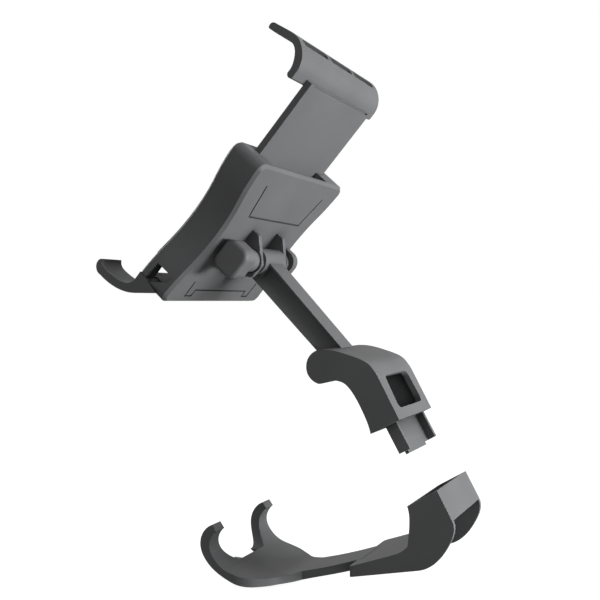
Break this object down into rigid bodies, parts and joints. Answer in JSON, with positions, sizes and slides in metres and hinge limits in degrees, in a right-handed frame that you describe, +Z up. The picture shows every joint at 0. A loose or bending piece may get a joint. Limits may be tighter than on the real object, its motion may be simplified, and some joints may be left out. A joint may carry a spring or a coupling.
{
  "type": "controller phone clip",
  "caption": "Phone holder on a tilting arm that clips over a game controller, with a sliding upper jaw and a hooked lower clip that pushes onto a tongue.",
  "frame": {"origin": "middle of the seat under the saddle, where the controller bears, on the plane of symmetry", "axes": "+Z up, +Y across the width, away from the thumb knob, +X towards the saddle's back wall"},
  "size_m": [0.092, 0.0512, 0.1375],
  "materials": {
    "black_plastic": "fine matte texture",
    "soft_pad": "matte",
    "steel": "satin",
    "spring_steel": "satin"
  },
  "bodies": {
    "saddle": {"saddle_shell": "black_plastic", "saddle_pad": "soft_pad", "arm": "black_plastic", "arm_screw": "steel"},
    "holder": {"rear_shell": "black_plastic", "front_cover": "black_plastic", "phone_pad": "soft_pad", "housing_screws": "steel", "friction_leaf": "spring_steel", "leaf_screw": "steel", "hinge_nut": "steel"},
    "slider": {"slide_plate": "black_plastic", "upper_jaw": "black_plastic", "jaw_screws": "steel", "jaw_pad": "soft_pad"},
    "knob": {"thumb_knob": "black_plastic", "hinge_bolt": "steel", "knob_washer": "steel"},
    "clip": {"lower_clip": "black_plastic"}
  },
  "joints": [
    {"name": "tilt_hinge", "type": "hinge", "parent": "saddle", "child": "holder", "pos_m": [-0.02699, 0, 0.03004], "axis": [0, 1, 0], "range_deg": [-60, 60]},
    {"name": "jaw_slide", "type": "slide", "parent": "holder", "child": "slider", "axis": [0.6665, 0, 0.7455], "range_m": [-0.0158, 0.008]},
    {"name": "knob_turn", "type": "hinge", "parent": "holder", "child": "knob", "pos_m": [-0.02699, -0.0148, 0.03004], "axis": [0, -1, 0], "continuous": true},
    {"name": "clip_slide", "type": "slide", "parent": "saddle", "child": "clip", "axis": [-0.4909, 0, 0.8712], "range_m": [0, 0.018]}
  ]
}
